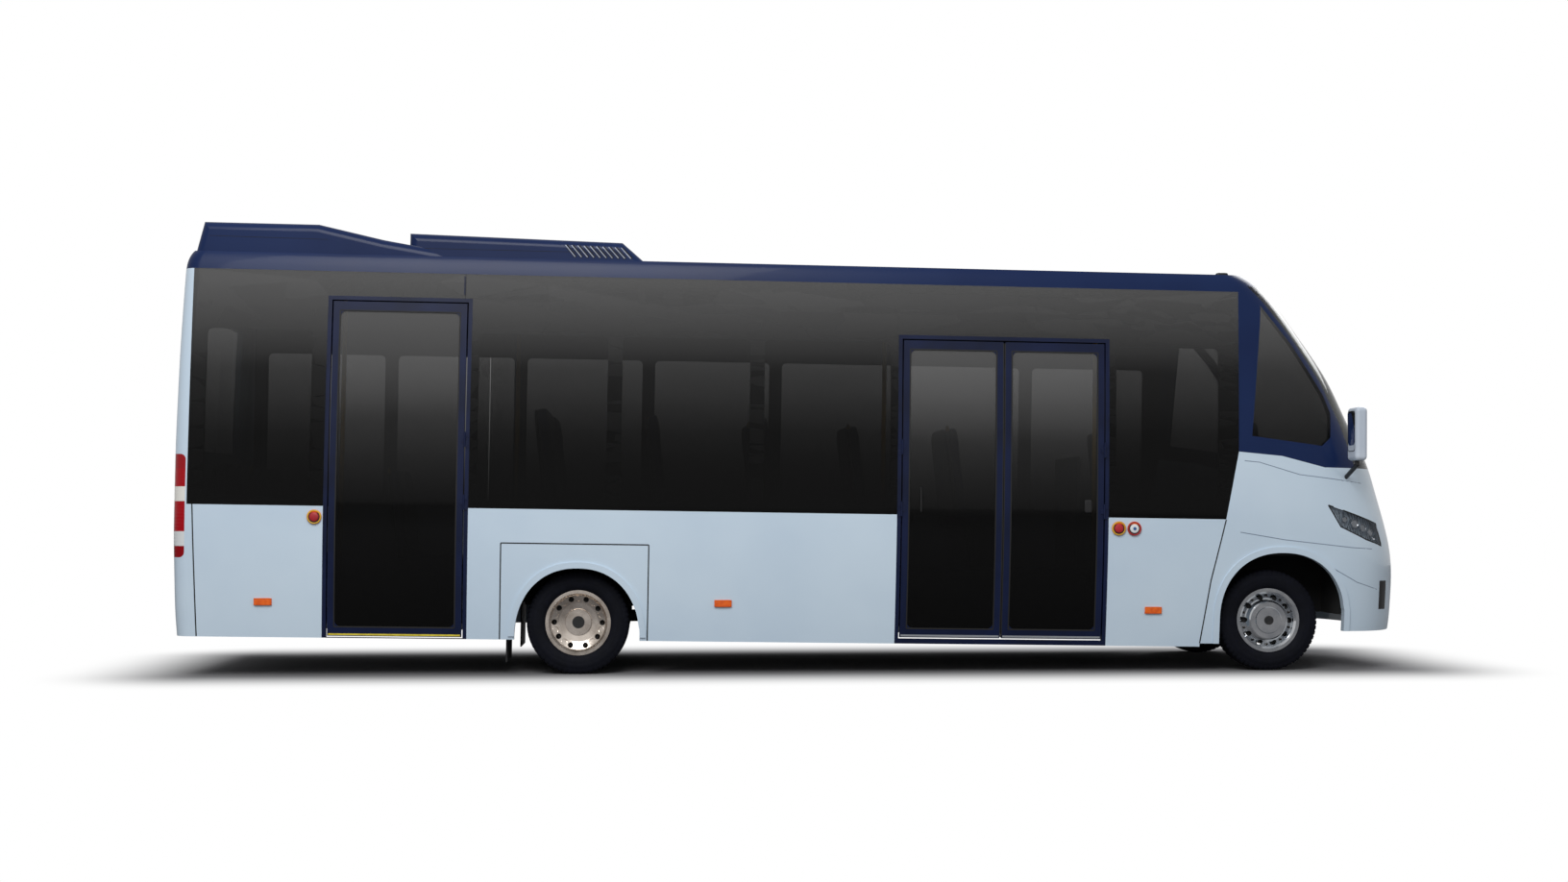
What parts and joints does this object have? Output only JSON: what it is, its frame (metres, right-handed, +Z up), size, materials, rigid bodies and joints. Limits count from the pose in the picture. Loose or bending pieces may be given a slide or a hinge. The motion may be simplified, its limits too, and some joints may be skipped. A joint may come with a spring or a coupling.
{
  "type": "minibus",
  "caption": "Passenger minibus with a swing-out rear door, double front doors, flush side glazing, twin rear wheels, steered front wheels and a roof cooling unit, hollow with seats inside",
  "frame": {"origin": "middle of the ground footprint, under the bounding box", "axes": "+X forward, +Y to the left, +Z up; it stands on its six tyres"},
  "size_m": [9.1362, 2.714, 3.2703],
  "materials": {
    "body_blue": "gloss",
    "body_white": "gloss",
    "cabin_grey": "matte",
    "chassis_black": "satin",
    "clear_glass": "polished",
    "engine_iron": "matte",
    "exhaust_steel": "satin",
    "flap_rubber": "matte",
    "frame_black": "satin",
    "handrail_yellow": "gloss",
    "housing_black": "matte",
    "lamp_amber": "polished",
    "lamp_clear": "polished",
    "lamp_red": "polished",
    "mirror_housing": "gloss",
    "partition_grey": "satin",
    "seat_fabric": "woven",
    "tinted_glass": "polished",
    "tyre_rubber": "matte",
    "wheel_chrome": "polished"
  },
  "bodies": {
    "bus_body": {"air_conditioner": "body_white", "arch_flares": "body_white", "arch_panels": "body_white", "cab_frame": "body_blue", "chassis_frame": "chassis_black", "dashboard": "cabin_grey", "door_portals": "body_blue", "driver_partition": "partition_grey", "engine_block": "engine_iron", "exhaust": "exhaust_steel", "front_axle": "chassis_black", "front_lamps": "lamp_clear", "front_mask": "body_white", "front_steps": "cabin_grey", "fuel_tank": "chassis_black", "grille": "frame_black", "handrails": "handrail_yellow", "leaf_springs": "chassis_black", "low_floor": "cabin_grey", "main_floor": "cabin_grey", "mirrors": "mirror_housing", "mudflaps": "flap_rubber", "propshaft": "chassis_black", "rear_axle": "chassis_black", "rear_bumper": "body_white", "rear_glass": "tinted_glass", "rear_wall": "body_white", "roof": "body_blue", "roof_fairing": "body_white", "seats": "seat_fabric", "side_glass": "tinted_glass", "side_lamps": "lamp_amber", "side_walls": "body_white", "steering_wheel": "cabin_grey", "tail_lamps": "lamp_red", "wheel_housings": "housing_black", "window_frames": "frame_black", "windscreen": "clear_glass"},
    "knuckle_left_body": {"knuckle_left": "chassis_black"},
    "knuckle_right_body": {"knuckle_right": "chassis_black"},
    "front_wheel_left_body": {"front_wheel_left": "wheel_chrome", "front_tyre_left": "tyre_rubber"},
    "front_wheel_right_body": {"front_wheel_right": "wheel_chrome", "front_tyre_right": "tyre_rubber"},
    "rear_wheels_left_body": {"rear_wheels_left": "wheel_chrome", "rear_tyres_left": "tyre_rubber"},
    "rear_wheels_right_body": {"rear_wheels_right": "wheel_chrome", "rear_tyres_right": "tyre_rubber"},
    "rear_door_body": {"rear_door": "body_blue", "rear_door_glass": "tinted_glass"},
    "front_door_aft_body": {"front_door_aft": "body_blue", "front_door_aft_glass": "tinted_glass"},
    "front_door_fore_body": {"front_door_fore": "body_blue", "front_door_fore_glass": "tinted_glass"}
  },
  "joints": [
    {"name": "steer_left", "type": "hinge", "parent": "bus_body", "child": "knuckle_left_body", "pos_m": [3.40341, 0.87, 0.372], "axis": [0.0148, 0, 0.9999], "range_deg": [-35, 35]},
    {"name": "front_wheel_left_spin", "type": "hinge", "parent": "knuckle_left_body", "child": "front_wheel_left_body", "pos_m": [3.40341, 0.905, 0.372], "axis": [0, 1, 0], "continuous": true},
    {"name": "rear_wheels_left_spin", "type": "hinge", "parent": "bus_body", "child": "rear_wheels_left_body", "pos_m": [-1.69715, 0.774, 0.372], "axis": [0, 1, 0], "continuous": true},
    {"name": "steer_right", "type": "hinge", "parent": "bus_body", "child": "knuckle_right_body", "pos_m": [3.40341, -0.87, 0.372], "axis": [0.0148, 0, 0.9999], "range_deg": [-35, 35]},
    {"name": "front_wheel_right_spin", "type": "hinge", "parent": "knuckle_right_body", "child": "front_wheel_right_body", "pos_m": [3.40341, -0.905, 0.372], "axis": [0, 1, 0], "continuous": true},
    {"name": "rear_wheels_right_spin", "type": "hinge", "parent": "bus_body", "child": "rear_wheels_right_body", "pos_m": [-1.69715, -0.774, 0.372], "axis": [0, 1, 0], "continuous": true},
    {"name": "rear_door_swing", "type": "hinge", "parent": "bus_body", "child": "rear_door_body", "pos_m": [-2.50744, -1.155, 1.43717], "axis": [0.0148, 0, 0.9999], "range_deg": [0, 90]},
    {"name": "front_door_aft_swing", "type": "hinge", "parent": "bus_body", "child": "front_door_aft_body", "pos_m": [0.64921, -1.155, 1.39034], "axis": [-0.0148, 0, -0.9999], "range_deg": [0, 90]},
    {"name": "front_door_fore_swing", "type": "hinge", "parent": "bus_body", "child": "front_door_fore_body", "pos_m": [2.14305, -1.155, 1.36817], "axis": [0.0148, 0, 0.9999], "range_deg": [0, 90]}
  ],
  "couplings": [
    {"joint": "steer_right", "follows": "steer_left", "ratio": 1}
  ]
}
